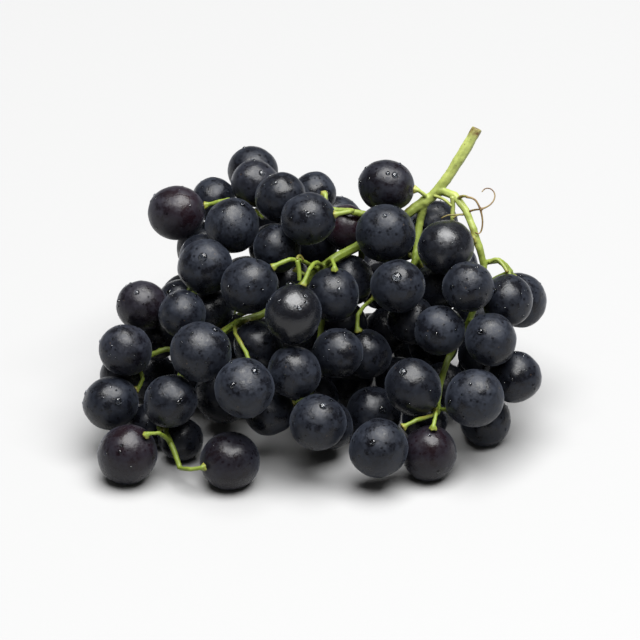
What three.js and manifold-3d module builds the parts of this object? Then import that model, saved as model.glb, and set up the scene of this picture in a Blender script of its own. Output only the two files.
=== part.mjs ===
// A bunch of round black grapes, cut from the vine and laid on its side on a table.
// One green stalk, from the cut end to the last pedicel, carries every berry.
// Sizes are in millimetres. +Z is up, +X is along the bunch, and the table is the plane z = 0.

import * as THREE from "three";
import { mergeVertices } from "three/addons/utils/BufferGeometryUtils.js";
import Module from "manifold-3d";

const wasm = await Module();
wasm.setup();

// Driving dimensions.
const VIEW_SLOPE = THREE.MathUtils.degToRad(30); // the bunch was measured looking down at this slope
const PIECE_GAP = 0.35; // clear space kept between two pieces
const TABLE_PRESS = 0.35; // a berry on the table is flattened by this much
const BERRY_OVAL = 1.06; // a berry's length from pedicel to tip, over its width
const PEDICEL_RADIUS = 0.75;
const CAP_RADIUS = 1.7; // the swollen cap at a pedicel's end, against the berry
const CAP_LENGTH = 1.6;
const PEDICEL_STRAIGHT = 2.6; // a pedicel leaves its berry straight for about this far
const PEDICEL_SWING = 0.35; // how far it then swings on that way, in its whole length
const PEDICEL_LEAST = 7; // a pedicel is this long or longer where it can be
const FORK_SWELLING = 1.45; // the swollen joint at a fork, over the branch's radius
const SWOLLEN_FROM = 1.3; // radius from which a branch swells at its fork
const PAD = { radius: 2.2, reach: 5 }; // joined berries this near each other share a pad
const FACETS = { berry: [10, 6], joined: [8, 5], pad: 4, branch: 6, pedicel: 5, tendril: 4 };
const STEPS = { branch: 7, pedicel: 4.5, tendril: 2 }; // length of one facet along a stem

// Half-sizes of the heap, as seen: across, up the view, and towards the viewer.
const HEAP = { across: 85, rise: 58, bulge: 24, middleRise: 50 };
const HEAP_NEAR_DEPTH = 8; // the heap's depth at the table, measured along the view
const HEAP_LEAN = 0.3; // how far the heap leans away from the viewer, per millimetre of rise
const LAYER_DEPTH = 13; // a berry that another hides partly lies this much deeper

// Branches of the stalk. A place is [across, rise, depth]: rise runs up the view and depth away from
// the viewer. A branch's first point lies on the branch that bears it.
const BRANCHES = {
  axis: {
    radii: [1.9, 1.3],
    route: [
      [52.3, 117.3, 20], [47.5, 108.5, 21], [42.5, 101, 23], [40, 96.7, 24], [35, 93, 25],
      [29, 88.8, 26], [21.5, 83, 26], [14, 78.6, 20], [6.5, 74.8, 14], [0, 70.5, 11],
      [-6.5, 64.3, 14], [-19, 55.3, 12], [-27, 52.5, 10], [-32, 49.5, 13], [-40, 42.5, 17], [-46, 36, 16],
    ],
  },
  top: {
    radii: [1.25, 1],
    route: [
      [29, 88.8, 26], [22, 87.6, 27], [16, 88.3, 23], [10, 89.6, 21], [4, 90, 24], [-2, 89, 30],
      [-10, 88, 32], [-19, 88.5, 31], [-26.5, 91.5, 27], [-31, 93.5, 24],
    ],
  },
  crown: { radii: [1, 0.9], route: [[-10, 88, 32], [-13, 92.5, 38], [-17, 96.5, 43]] },
  middle: {
    radii: [1.35, 1],
    route: [
      [35, 93, 25], [33.5, 87, 27], [32.5, 80, 27], [32, 74, 26], [28.5, 67, 26], [22.5, 63.5, 24],
      [17.5, 60.5, 20],
    ],
  },
  right: {
    radii: [1.4, 1],
    route: [
      [40, 96.7, 24], [44, 95.6, 21], [47.5, 92, 18], [50.3, 86, 16], [52.6, 79, 16], [54.6, 72.5, 18],
      [53.5, 63, 18], [50, 53.5, 18], [45, 45, 21], [42, 38.5, 19], [40.3, 33, 14], [39.2, 26.5, 7],
      [39, 22.5, 2],
    ],
  },
  right_end: { radii: [1, 0.9], route: [[54.6, 72.5, 18], [58, 73.5, 21], [61.5, 72.5, 23], [64, 69.5, 25]] },
  right_low: { radii: [1, 0.9], route: [[50, 53.5, 16], [55, 46, 19], [58.5, 38, 20], [58.5, 30, 19]] },
  low: {
    radii: [1.3, 1],
    route: [[0, 70.5, 11], [1.5, 63, 16], [0.5, 52.5, 16], [-0.5, 42, 14], [-2, 32, 12], [-4, 27, 12]],
  },
  left_top: {
    radii: [1.1, 0.9],
    route: [[-19, 55.3, 12], [-27, 58, 22], [-35, 61, 26], [-41, 62.5, 26], [-46, 62, 24]],
  },
  left_end: { radii: [1.1, 0.9], route: [[-40, 42.5, 17], [-48, 43.5, 14], [-55, 43, 15], [-60, 37, 16]] },
  tip: {
    radii: [1.2, 0.85],
    route: [
      [-46, 36, 16], [-49.3, 28.3, 13], [-51.3, 20.5, 4], [-51, 15.5, -1], [-49.3, 12, -3], [-47.5, 7.5, -4],
      [-46.4, 4.2, -5],
    ],
  },
  back_left: { radii: [1.2, 0.9], route: [[-6.5, 64.3, 14], [-16, 62, 28], [-25, 56, 42], [-34, 52, 50]] },
  back_middle: { radii: [1.2, 0.9], route: [[14, 78.6, 20], [13, 68, 34], [9, 60, 46], [5, 54, 56]] },
  back_right: { radii: [1.2, 0.9], route: [[32, 74, 26], [36, 66, 38], [39, 58, 48], [41, 50, 54]] },
};

// Berries seen from the front, under the branch that bears them: [across, rise, radius, layer].
// Layer 0 is the heap's skin, a half layer lies half behind it, and "table" rests on the table.
// Where a stem end was seen or is known to be out of sight, it follows as [across, rise] from the
// berry's centre in its radii, with "away" for one on the far side, and "joined" marks a berry so deep
// that it is one piece with its hidden neighbours.
const SEEN = {
  axis: [
    [22.2, 98.2, 9, 0, [0.93, -0.12]], [21.8, 82.2, 9.8, -0.3], [38.7, 86, 7.4, 1.2],
    [-14.7, 76.7, 7.8, 0.7], [-23.7, 64.7, 9.3, 0, [0.76, 0.58]], [-9.5, 55.3, 9.6, -0.4, [0.3, 0.9]],
    [4.3, 61.7, 8.7, 0.1, [0.05, 0.84]], [10, 65.3, 8.4, 1.3, "joined"], [-11.7, 63.3, 7.5, 1, "joined"],
    [-25.3, 31.7, 9.8, -0.2, [0.2, 0.6, "away"]], [-39.5, 42.1, 10, -0.3], [-20.7, 45, 8.3, 1, "joined"],
  ],
  top: [
    [-2, 95.7, 7.3, 1, [0.4, -0.05]], [-4.2, 86.7, 8.9, -0.8, [0.88, 0.15]], [9, 84, 7.8, 1.1],
    [-13.2, 94.2, 8.4, -0.35], [-29, 84.7, 8.9, 0], [-35.7, 93.7, 7.4, 1.2], [-47.7, 88.8, 9.2, 0.4],
  ],
  crown: [[-21.8, 99, 7.9, 0.35], [-22.5, 103.3, 8.3, 1.1]],
  middle: [[25.9, 64.7, 9.1, -0.1], [15.3, 42, 8, 0.8, [-0.33, 0.85]], [37.7, 64.3, 8, 1.3, "joined"]],
  right: [
    [40.3, 50, 8.3, 0.6], [42.8, 77.5, 9.1, 0], [49, 64.7, 8.7, 0], [30.9, 31.1, 9.5, 0],
    [51.3, 27.5, 9.6, -0.4], [19.6, 11, 9.5, -0.2], [36, 9.3, 9, "table", [0.12, 0.8]],
  ],
  right_end: [[62.5, 60, 8.5, 0.3], [67, 60, 9, 1.6]],
  right_low: [[55.8, 47, 8.8, 0], [64.8, 34.5, 8.8, 0.6], [55.3, 20, 8.3, "table"]],
  low: [
    [-8, 36.3, 8.9, 0], [5.3, 42, 8.6, 0.3], [-16.7, 22.7, 8, 0.8], [-1, 20, 9.3, -0.2],
    [2.7, 18.7, 8.3, 1.1, "joined"],
  ],
  left_top: [
    [-39.7, 74.3, 7.9, 1.3, "joined"], [-37.3, 69.7, 9.2, 0], [-45, 55, 8.1, 0.5],
    [-58.8, 58, 8.4, 0.4, [0.7, -0.2, "away"]],
  ],
  left_end: [[-64.7, 43.3, 8.8, 0], [-69.5, 25.9, 9, 0]],
  tip: [
    [-49.3, 26.7, 8.9, 0], [-47.7, 14.7, 7.4, 1, "joined"], [-63.9, 8.9, 10, "table", [0.56, 0.55]],
    [-29.7, 6.8, 9.6, "table", [-0.8, -0.2]],
  ],
};

// Berries of which no more than a dark edge shows between the others, deep inside.
const GLIMPSED = [
  [9.3, 54, 8, 1.6], [41, 31, 8, 1.6], [-29.7, 48, 7.5, 1.7], [35, 20, 7.5, 1.8], [31.7, 54, 8, 1.6],
  [-57, 17, 7, 1.4], [-66, 35, 7.2, 1.3], [-1.5, 27, 8, 1.9], [-54, 47.5, 7.4, 1.6],
  [-36, 57.5, 7.4, 1.2], [-1, 79, 7.5, 2], [21, 50, 7.5, 1.8],
];

// The side that lies away from the viewer, in rows along the heap: height and the depth of its middle
// on the table, the row's ends, and its count.
const BACK_ROWS = [
  { height: "table", back: 82, from: -56, to: 54, count: 7 },
  { height: 28, back: 90, from: -46, to: 60, count: 6 },
  { height: 48, back: 86, from: -38, to: 48, count: 5 },
];
const BACK_ROUNDING = 0.008; // how fast a back row curves in towards its ends, per square millimetre
const BACK_RADII = [8.2, 9.2];

// A berry off the seen side stays where the seen ones hide it: each point of its edge has a seen berry
// within this distance on most sides.
const HIDING = { distance: 22, directions: 16, least: 13, push: 0.25 };

// Berries hidden inside fill what room the others leave.
const INNER_RADII = [7.4, 9];
const INNER_STEP = 3; // spacing of the places tried
const INNER_DEPTH = 12; // how far behind the seen skin they stay
const INNER_INSET = 3; // how far inside the outer berries' centres they stay

const SETTLE_ROUNDS = 600;
const FREE_ROUNDS = 150; // the last rounds only part what still overlaps
const SETTLE_SHARE = 0.5; // share of an overlap undone in one round
const SIGHT_PULL = 0.35; // how strongly a seen berry keeps its seen place
const DEPTH_PULL = 0.01;
const STEM_END_ROUNDS = 120; // how often each berry turns its stem end to the clearest side
const TURN_COST = 1.5; // millimetres of room that turning a stem end by a radian must win
const ROOTS_TRIED = 12; // places on the branches tried for a pedicel
const DETOUR = 60; // length of pedicel worth a millimetre of berry in its way
const SLIVER = 0.02; // facets thinner than this are smoothed away where stems and pads join
const GATHER_ROUNDS = 300;
const GATHER_STEP = 0.06; // how far a round draws a hidden berry to its neighbours

// The dried tendril by the stalk, in two strands.
const TENDRIL = [
  {
    radii: [0.55, 0.35],
    route: [
      [48.6, 94.3, 15.2], [51.4, 93.8, 14], [53.4, 90.2, 14], [54.2, 85.5, 14.5], [53.2, 81.8, 15],
      [51.6, 82.6, 13],
    ],
  },
  {
    radii: [0.4, 0.28],
    route: [
      [53.4, 90.2, 14], [56.6, 91.6, 14], [58.4, 94.4, 15], [57.4, 97, 16], [55.2, 97.4, 16], [53.9, 96, 15],
    ],
  },
];

const COLOURS = { skin: 0x2a2f3f, stalk: 0xa3b545, tendril: 0x7a5a35 };

const random = seededRandom(11);

function seededRandom(seed) {
  let state = seed;
  return () => {
    state = (state * 1664525 + 1013904223) % 4294967296;
    return state / 4294967296;
  };
}

const between = ([low, high], share) => low + (high - low) * share;

// From [across, rise, depth] to a point above the table.
function fromView([across, rise, depth]) {
  const [s, c] = [Math.sin(VIEW_SLOPE), Math.cos(VIEW_SLOPE)];
  return new THREE.Vector3(across, rise * s + depth * c, rise * c - depth * s);
}

const riseOf = (at) => at.y * Math.sin(VIEW_SLOPE) + at.z * Math.cos(VIEW_SLOPE);
const depthOf = (at) => at.y * Math.cos(VIEW_SLOPE) - at.z * Math.sin(VIEW_SLOPE);

// Depth of the heap's skin where it is seen at that place.
function skinDepth(across, rise) {
  const flat = 1 - (across / HEAP.across) ** 2 - ((rise - HEAP.middleRise) / HEAP.rise) ** 2;
  return HEAP_NEAR_DEPTH + HEAP_LEAN * rise - HEAP.bulge * Math.sqrt(Math.max(0, flat));
}

// Evenly spread directions.
function directions(count) {
  const golden = Math.PI * (3 - Math.sqrt(5));
  return Array.from({ length: count }, (_, i) => {
    const z = 1 - (2 * i + 1) / count;
    const flat = Math.sqrt(1 - z * z);
    return new THREE.Vector3(flat * Math.cos(golden * i), flat * Math.sin(golden * i), z);
  });
}

// Branches as smooth curves, with the points and radii that berries and pedicels keep clear of.
function makeBranches() {
  return Object.entries(BRANCHES).map(([name, { radii, route }]) => {
    const curve = smooth(route.map(fromView));
    const steps = Math.ceil(curve.getLength() / 2);
    const at = curve.getSpacedPoints(steps);
    const points = at.map((place, i) => ({ at: place, radius: between(radii, i / steps), taken: i === 0 }));
    return { name, curve, radii, points };
  });
}

function smooth(points) {
  return new THREE.CatmullRomCurve3(points, false, "centripetal");
}

// How far a berry reaches from its centre in a direction.
function reach(berry, direction) {
  const along = direction.dot(berry.axis) ** 2;
  return berry.radius * Math.sqrt(1 - along + along * BERRY_OVAL ** 2);
}

// How deep a point with some room of its own lies inside a berry, and the way out.
function overlap(berry, point, room) {
  const away = point.clone().sub(berry.at);
  const far = away.length() || 1e-6;
  away.divideScalar(far);
  return { over: reach(berry, away) + room - far, away };
}

function seenBerries(branches) {
  return Object.entries(SEEN).flatMap(([name, rows]) =>
    rows.map(([across, rise, radius, layer, more]) => {
      const onTable = layer === "table";
      const seen = { across, rise, depth: skinDepth(across, rise) + (onTable ? 0 : layer * LAYER_DEPTH) };
      const branch = branches.find((b) => b.name === name);
      const berry = makeBerry(branch, fromView([across, rise, seen.depth]), radius);
      const joined = more === "joined";
      const turns = joined || !more;
      if (!turns) berry.axis.copy(stemDirection(...more));
      return Object.assign(berry, { seen, onTable, turns, joined });
    }),
  );
}

// The direction of a stem end from where it is seen on its berry.
function stemDirection(across, rise, away) {
  const depth = Math.sqrt(1 - across ** 2 - rise ** 2);
  return fromView([across, rise, away ? depth : -depth]);
}

function glimpsedBerries(branches) {
  return GLIMPSED.map(([across, rise, radius, layer]) => {
    const seen = { across, rise, depth: skinDepth(across, rise) + layer * LAYER_DEPTH };
    const at = fromView([across, rise, seen.depth]);
    const berry = makeBerry(nearestBranch(branches, at), at, radius);
    return Object.assign(berry, { seen, joined: true, bare: true });
  });
}

function makeBerry(branch, at, radius) {
  const axis = new THREE.Vector3(0, 0, 1);
  const kind = { seen: null, onTable: false, turns: true, joined: false, bare: false };
  return { branch, at, radius, axis, ...kind, fixed: false };
}

function backBerries(branches) {
  return BACK_ROWS.flatMap(({ height, back, from, to, count }) =>
    Array.from({ length: count }, (_, i) => {
      const x = between([from, to], i / (count - 1)) + 3 * (random() - 0.5);
      const y = back - BACK_ROUNDING * x * x + 3 * (random() - 0.5);
      const onTable = height === "table";
      const radius = between(BACK_RADII, random());
      const at = new THREE.Vector3(x, y, onTable ? radius : height);
      const berry = makeBerry(nearestBranch(branches, at), at, radius);
      return Object.assign(berry, { onTable, joined: onTable });
    }),
  );
}

function nearestBranch(branches, at) {
  const gap = (b) => Math.min(...b.points.map((p) => p.at.distanceTo(at)));
  return branches.reduce((best, b) => (gap(b) < gap(best) ? b : best));
}

function nearestPoint({ points }, at) {
  return points.reduce((best, p) => (p.at.distanceTo(at) < best.at.distanceTo(at) ? p : best));
}

// Room at a point: how far it is to the nearest berry, branch or the table.
function roomAt(point, berries, branches) {
  let room = point.z;
  for (const b of berries) room = Math.min(room, -overlap(b, point, 0).over);
  for (const { points } of branches)
    for (const p of points) room = Math.min(room, p.at.distanceTo(point) - p.radius);
  return room;
}

// Whether the seen berries stand round a place in the view on most sides.
function isHidden(across, rise, seen) {
  let closed = 0;
  for (let i = 0; i < HIDING.directions; i++) {
    const [dx, dy] = turnOf(i, HIDING.directions);
    const met = seen.some((b) => {
      const [x, y] = [b.seen.across - across, b.seen.rise - rise];
      const side = Math.abs(x * dy - y * dx);
      const ahead = x * dx + y * dy;
      if (x * x + y * y < b.radius ** 2) return true;
      return side < b.radius && ahead > 0 && ahead - Math.sqrt(b.radius ** 2 - side ** 2) < HIDING.distance;
    });
    if (met) closed++;
  }
  return closed >= HIDING.least;
}

function turnOf(i, count) {
  const angle = (2 * Math.PI * i) / count;
  return [Math.cos(angle), Math.sin(angle)];
}

// Pushes a berry that isn't on the seen side back behind those that are.
function hide(berry, seen) {
  for (let i = 0; i < 12; i++) {
    const [dx, dy] = turnOf(i, 12);
    const [across, rise] = [berry.at.x + dx * berry.radius, riseOf(berry.at) + dy * berry.radius];
    if (!isHidden(across, rise, seen)) berry.at.add(fromView([-dx * HIDING.push, -dy * HIDING.push, 0]));
  }
}

// Turns a berry's stem end towards its branch, or to a clearer side near there.
function turnStemEnd(berry, berries) {
  const wanted = nearestPoint(berry.branch, berry.at).at.clone().sub(berry.at).normalize();
  const others = berries.filter((b) => b !== berry && b.at.distanceTo(berry.at) < 40);
  let best = -Infinity;
  for (const direction of [wanted, ...directions(120)]) {
    const outside = berry.at.clone().addScaledVector(direction, berry.radius * BERRY_OVAL + PEDICEL_STRAIGHT);
    const room = Math.min(roomAt(outside, others, []), 2 * CAP_RADIUS);
    const worth = room - TURN_COST * direction.angleTo(wanted);
    if (worth > best) {
      best = worth;
      berry.axis.copy(direction);
    }
  }
}

function partBerries(berries) {
  for (let i = 0; i < berries.length; i++)
    for (let j = 0; j < i; j++) {
      const [a, b] = [berries[i], berries[j]];
      const away = a.at.clone().sub(b.at);
      const far = away.length();
      away.divideScalar(far);
      const over = reach(a, away) + reach(b, away) + PIECE_GAP - far;
      if (over <= 0 || (a.fixed && b.fixed)) continue;
      const step = (over * SETTLE_SHARE) / (a.fixed || b.fixed ? 1 : 2);
      if (!a.fixed) a.at.addScaledVector(away, step);
      if (!b.fixed) b.at.addScaledVector(away, -step);
    }
}

function clearBranches(berry, branches) {
  for (const { points } of branches)
    for (const p of points) {
      const { over, away } = overlap(berry, p.at, p.radius + PIECE_GAP);
      if (over > 0) berry.at.addScaledVector(away, -over);
    }
}

function keepOnTable(berry) {
  const half = reach(berry, new THREE.Vector3(0, 0, 1));
  berry.at.z = berry.onTable ? half - TABLE_PRESS : Math.max(berry.at.z, half + PIECE_GAP);
  if (berry.onTable && berry.seen)
    berry.at.y = (berry.seen.rise - berry.at.z * Math.cos(VIEW_SLOPE)) / Math.sin(VIEW_SLOPE);
}

function keepInSight({ at, seen }) {
  const across = at.x + (seen.across - at.x) * SIGHT_PULL;
  const rise = riseOf(at) + (seen.rise - riseOf(at)) * SIGHT_PULL;
  const depth = depthOf(at) + (seen.depth - depthOf(at)) * DEPTH_PULL;
  at.copy(fromView([across, rise, depth]));
}

// Lets the berries press past each other until none overlaps another, a branch or the table.
function settle(berries, branches) {
  const seen = berries.filter((b) => b.seen);
  for (let round = 0; round < SETTLE_ROUNDS; round++) {
    const free = round >= SETTLE_ROUNDS - FREE_ROUNDS;
    if (!free && round % STEM_END_ROUNDS === 0)
      for (const b of berries) if (b.turns) turnStemEnd(b, berries);
    if (!free) for (const b of berries) b.seen ? keepInSight(b) : hide(b, seen);
    partBerries(berries);
    for (const b of berries) clearBranches(b, branches);
    for (const b of berries) keepOnTable(b);
  }
}

// Draws a berry a little nearer to its two nearest neighbours.
function drawNear(berry, neighbours) {
  const others = neighbours.filter((b) => b !== berry);
  const byGap = others.sort((p, q) => gapOf(berry, p) - gapOf(berry, q));
  for (const other of byGap.slice(0, 2))
    berry.at.addScaledVector(other.at.clone().sub(berry.at).normalize(), GATHER_STEP);
}

// Draws the berries inside up to each other and to the joined ones.
function gather(inner, outer, branches) {
  const joined = [...outer.filter((b) => b.joined), ...inner];
  for (const b of outer) b.fixed = true;
  for (let round = 0; round < GATHER_ROUNDS; round++) {
    if (round < GATHER_ROUNDS / 2) for (const b of inner) drawNear(b, joined);
    partBerries([...outer, ...inner]);
    for (const b of inner) clearBranches(b, branches);
    for (const b of inner) keepOnTable(b);
  }
}

function gapOf(a, b) {
  const away = a.at.clone().sub(b.at).normalize();
  return a.at.distanceTo(b.at) - reach(a, away) - reach(b, away);
}

// Fills the inside, the widest pocket first.
function innerBerries(outer, branches) {
  const seen = outer.filter((b) => b.seen);
  const farthest = (d) => Math.max(...outer.map((b) => d.dot(b.at)));
  const sides = directions(60).map((d) => ({ d, far: farthest(d) - INNER_INSET }));
  const box = new THREE.Box3().setFromPoints(outer.map((b) => b.at));
  let places = [];
  for (let x = box.min.x; x < box.max.x; x += INNER_STEP)
    for (let y = box.min.y; y < box.max.y; y += INNER_STEP)
      for (let z = box.min.z; z < box.max.z; z += INNER_STEP) {
        const at = new THREE.Vector3(x, y, z);
        const deep = depthOf(at) > skinDepth(at.x, riseOf(at)) + INNER_DEPTH;
        const inside = sides.every(({ d, far }) => d.dot(at) < far);
        if (deep && inside) places.push({ at, room: roomAt(at, outer, branches) });
      }
  const least = INNER_RADII[0] * BERRY_OVAL + PIECE_GAP;
  const clear = ({ at, room }) => room > least && edgeHidden(at, INNER_RADII[0], seen);
  places = places.filter(clear);
  const inner = [];
  while (places.length) {
    const { at, room } = places.reduce((a, b) => (b.room > a.room ? b : a));
    const radius = Math.min((room - PIECE_GAP) / BERRY_OVAL, INNER_RADII[1]);
    const berry = makeBerry(nearestBranch(branches, at), at.clone(), radius);
    inner.push(Object.assign(berry, { joined: true }));
    const skin = radius * BERRY_OVAL;
    for (const place of places) place.room = Math.min(place.room, place.at.distanceTo(at) - skin);
    places = places.filter(({ room: left }) => left > least);
  }
  return inner;
}

function edgeHidden(at, radius, seen) {
  return Array.from({ length: 8 }, (_, i) => turnOf(i, 8)).every(([dx, dy]) =>
    isHidden(at.x + dx * radius, riseOf(at) + dy * radius, seen),
  );
}

// A solid from one of three.js's closed geometries.
function solid(geometry) {
  const bare = geometry.clone();
  bare.deleteAttribute("normal");
  bare.deleteAttribute("uv");
  const merged = mergeVertices(bare, 1e-4);
  const mesh = new wasm.Mesh({
    numProp: 3,
    vertProperties: new Float32Array(merged.attributes.position.array),
    triVerts: new Uint32Array(merged.index.array),
  });
  return new wasm.Manifold(mesh);
}

function union(solids) {
  return solids.reduce((a, b) => a.add(b));
}

// The main body alone, without slivers or the pockets that its members close off between them.
function unbroken(made) {
  const widest = (bodies) => bodies.reduce((a, b) => (b.volume() > a.volume() ? b : a));
  return widest(solid(geometryOf(widest(made.simplify(SLIVER).decompose()))).decompose());
}

// A closed round bar along a curve. Its rings stand at the given shares of the length, each with a radius.
function bar(curve, sides, rings) {
  const FRAMES = 200;
  const steps = rings.length - 1;
  const shape = new THREE.CylinderGeometry(1, 1, 1, sides, steps);
  const { normals, binormals } = curve.computeFrenetFrames(FRAMES, false);
  const position = shape.getAttribute("position");
  for (let i = 0; i < position.count; i++) {
    const [share, radius] = rings[Math.round((position.getY(i) + 0.5) * steps)];
    const frame = Math.round(share * FRAMES);
    const at = curve.getPointAt(share);
    at.addScaledVector(normals[frame], position.getX(i) * radius);
    at.addScaledVector(binormals[frame], -position.getZ(i) * radius);
    position.setXYZ(i, at.x, at.y, at.z);
  }
  return solid(shape);
}

// Rings at even steps, with the radius running evenly from one end to the other.
function evenRings(radii, steps, last = 1) {
  return Array.from({ length: steps + 1 }, (_, i) => [(i / steps) * last, between(radii, i / steps)]);
}

function ball(at, radius) {
  return solid(new THREE.IcosahedronGeometry(radius, 1).translate(at.x, at.y, at.z));
}

// A berry's solid. One that lies on the table is lowered until it rests on a flat of its own.
function berrySolid(berry, facets) {
  const turn = new THREE.Quaternion().setFromUnitVectors(new THREE.Vector3(0, 1, 0), berry.axis);
  const shape = new THREE.SphereGeometry(berry.radius, ...facets).scale(1, BERRY_OVAL, 1);
  shape.applyQuaternion(turn);
  shape.translate(berry.at.x, berry.at.y, berry.at.z);
  if (!berry.onTable) return solid(shape);
  shape.computeBoundingBox();
  shape.translate(0, 0, -shape.boundingBox.min.z - TABLE_PRESS);
  const table = new THREE.BoxGeometry(400, 400, 40).translate(0, 0, -20);
  return solid(shape).subtract(solid(table));
}

// Joined berries, each group held together by as few pads as will do. A pad crosses no stem.
function joinedSolids(berries, stems) {
  const pairs = berries.flatMap((a, i) => berries.slice(0, i).map((b) => ({ a, b, gap: gapOf(a, b) })));
  let groups = berries.map((b) => ({ members: new Set([b]), solids: [berrySolid(b, FACETS.joined)] }));
  for (const { a, b, gap } of pairs.sort((p, q) => p.gap - q.gap)) {
    const [one, other] = [a, b].map((berry) => groups.find((g) => g.members.has(berry)));
    const line = new THREE.Line3(a.at, b.at);
    const blocked = stems.some(({ at, radius }) => distanceTo(line, at) < radius + PAD.radius + PIECE_GAP);
    if (gap > PAD.reach || one === other || blocked) continue;
    const pad = bar(new THREE.LineCurve3(a.at, b.at), FACETS.pad, evenRings([PAD.radius, PAD.radius], 1));
    one.members = new Set([...one.members, ...other.members]);
    one.solids.push(...other.solids, pad);
    groups = groups.filter((g) => g !== other);
  }
  return groups.map(({ solids }) => unbroken(union(solids)));
}

function distanceTo(line, at) {
  return line.closestPointToPoint(at, true, new THREE.Vector3()).distanceTo(at);
}

// A pedicel's line from a place on a branch to its berry: it leaves the berry along the berry's axis,
// swings over to the branch, and is pushed clear of the berries on the way.
function pedicelLine(berry, root, near) {
  const POINTS = 8;
  const ROUNDS = 70;
  const end = berry.at.clone().addScaledVector(berry.axis, berry.radius * BERRY_OVAL + PIECE_GAP);
  const out = PEDICEL_SWING * root.distanceTo(end) + PEDICEL_STRAIGHT / 2;
  const swing = end.clone().addScaledVector(berry.axis, out);
  const bend = new THREE.CubicBezierCurve3(root, root.clone().lerp(swing, 0.5), swing, end);
  const arc = bend.getSpacedPoints(POINTS);
  const shift = arc.map(() => new THREE.Vector3());
  for (let round = 0; round < ROUNDS; round++)
    for (let i = 1; i < POINTS; i++) {
      shift[i].lerp(shift[i - 1].clone().add(shift[i + 1]).multiplyScalar(0.5), 0.4);
      if (i === POINTS - 1) continue;
      for (const b of near) {
        const { over, away } = overlap(b, arc[i].clone().add(shift[i]), PEDICEL_RADIUS + 1.5 * PIECE_GAP);
        if (over > 0) shift[i].addScaledVector(away, over);
      }
      shift[i].z = Math.max(shift[i].z, PEDICEL_RADIUS + PIECE_GAP - arc[i].z);
    }
  const curve = smooth(arc.map((at, i) => at.clone().add(shift[i])));
  const length = curve.getLength();
  const straight = 1 - (0.6 * PEDICEL_STRAIGHT) / length;
  let inWay = 0;
  for (let i = 0; i <= 24; i++)
    for (const b of near)
      if (b !== berry || i / 24 < straight)
        inWay = Math.max(inWay, overlap(b, curve.getPointAt(i / 24), PEDICEL_RADIUS + 0.1).over);
  const short = Math.max(0, PEDICEL_LEAST - length);
  return { curve, length, inWay, cost: length + 3 * short + DETOUR * inWay };
}

function bestPedicel(berry, berries, branches) {
  const tip = berry.at.clone().addScaledVector(berry.axis, berry.radius * BERRY_OVAL + PEDICEL_STRAIGHT);
  const near = berries.filter((b) => b.at.distanceTo(berry.at) < 50);
  const borne = berry.seen ? [berry.branch] : branches;
  const free = borne.flatMap(({ points }) => points).filter(({ taken }) => !taken);
  const roots = free.sort((a, b) => a.at.distanceTo(tip) - b.at.distanceTo(tip)).slice(0, ROOTS_TRIED);
  const lines = roots.map((root) => ({ root, ...pedicelLine(berry, root.at, near) }));
  const best = lines.reduce((a, b) => (b.cost < a.cost ? b : a));
  best.root.taken = true;
  return best;
}

function pedicelSolid({ curve, length }) {
  const steps = Math.max(2, Math.round((length - CAP_LENGTH) / STEPS.pedicel));
  const slender = evenRings([PEDICEL_RADIUS, PEDICEL_RADIUS], steps, 1 - CAP_LENGTH / length);
  return bar(curve, FACETS.pedicel, [...slender, [1, CAP_RADIUS]]);
}

function branchSolids(branches) {
  return branches.flatMap(({ name, curve, radii }) => {
    const steps = Math.ceil(curve.getLength() / STEPS.branch);
    const made = bar(curve, FACETS.branch, evenRings(radii, steps));
    if (name === "axis" || radii[0] < SWOLLEN_FROM) return [made];
    return [made, ball(curve.getPoint(0), radii[0] * FORK_SWELLING)];
  });
}

function tendrilSolid() {
  const strands = TENDRIL.map(({ radii, route }) => {
    const curve = smooth(route.map(fromView));
    return bar(curve, FACETS.tendril, evenRings(radii, Math.ceil(curve.getLength() / STEPS.tendril)));
  });
  return union(strands);
}

function geometryOf(made) {
  const { vertProperties, triVerts, numProp } = made.getMesh();
  const count = vertProperties.length / numProp;
  const places = new Float32Array(count * 3);
  for (let i = 0; i < count; i++) places.set(vertProperties.subarray(i * numProp, i * numProp + 3), i * 3);
  const geometry = new THREE.BufferGeometry();
  geometry.setAttribute("position", new THREE.BufferAttribute(places, 3));
  geometry.setIndex(new THREE.BufferAttribute(new Uint32Array(triVerts), 1));
  return geometry;
}

function meshOf(name, made, colour) {
  const geometry = geometryOf(made);
  geometry.computeVertexNormals();
  const mesh = new THREE.Mesh(geometry, new THREE.MeshStandardMaterial({ color: colour, roughness: 0.5 }));
  mesh.name = name;
  return mesh;
}

const branches = makeBranches();
const outer = [...seenBerries(branches), ...glimpsedBerries(branches), ...backBerries(branches)];
settle(outer, branches);
const inner = innerBerries(outer, branches);
const berries = [...outer, ...inner];
for (const b of inner) turnStemEnd(b, berries);
gather(inner, outer, branches);

const borne = outer.filter((b) => !b.bare && (b.seen || !b.joined));
const pedicels = borne.map((b) => ({ b, ...bestPedicel(b, berries, branches) }));
const rachis = unbroken(union([...branchSolids(branches), ...pedicels.map(pedicelSolid)]));

const bunch = new THREE.Group();
bunch.add(meshOf("rachis", rachis, COLOURS.stalk));
bunch.add(meshOf("dried_tendril", tendrilSolid(), COLOURS.tendril));
const single = berries.filter((b) => !b.joined);
single.forEach((b, i) => {
  const name = `berry_${String(i + 1).padStart(2, "0")}`;
  bunch.add(meshOf(name, berrySolid(b, FACETS.berry), COLOURS.skin));
});
const stems = [
  ...branches.flatMap(({ points }) => points),
  ...pedicels.flatMap(({ curve }) => curve.getSpacedPoints(12).map((at) => ({ at, radius: PEDICEL_RADIUS }))),
];
joinedSolids(berries.filter((b) => b.joined), stems).forEach((made, i) => {
  bunch.add(meshOf(`inner_berries_${i + 1}`, made, COLOURS.skin));
});

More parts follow.
